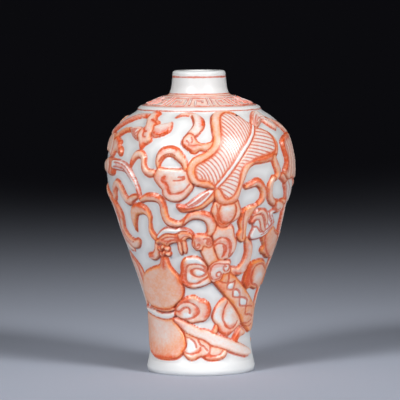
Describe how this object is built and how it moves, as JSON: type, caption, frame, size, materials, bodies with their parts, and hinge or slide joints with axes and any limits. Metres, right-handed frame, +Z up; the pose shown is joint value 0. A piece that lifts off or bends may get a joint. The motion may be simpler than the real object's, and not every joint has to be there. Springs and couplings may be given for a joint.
{
  "type": "snuff bottle",
  "caption": "Tall-shouldered porcelain snuff bottle with a short neck, moulded relief of emblems and looping ribbons, hollow, on a foot ring.",
  "frame": {"origin": "centre of the foot, in the plane that the bottle stands on", "axes": "+Z up the bottle's own axis, -Y out of the front with the fan, gourd and sword"},
  "size_m": [0.0509, 0.0511, 0.08],
  "materials": {
    "bottle": "clear white glaze with iron-red enamel over the relief"
  },
  "bodies": {
    "root": {"bottle": "bottle"}
  },
  "joints": []
}
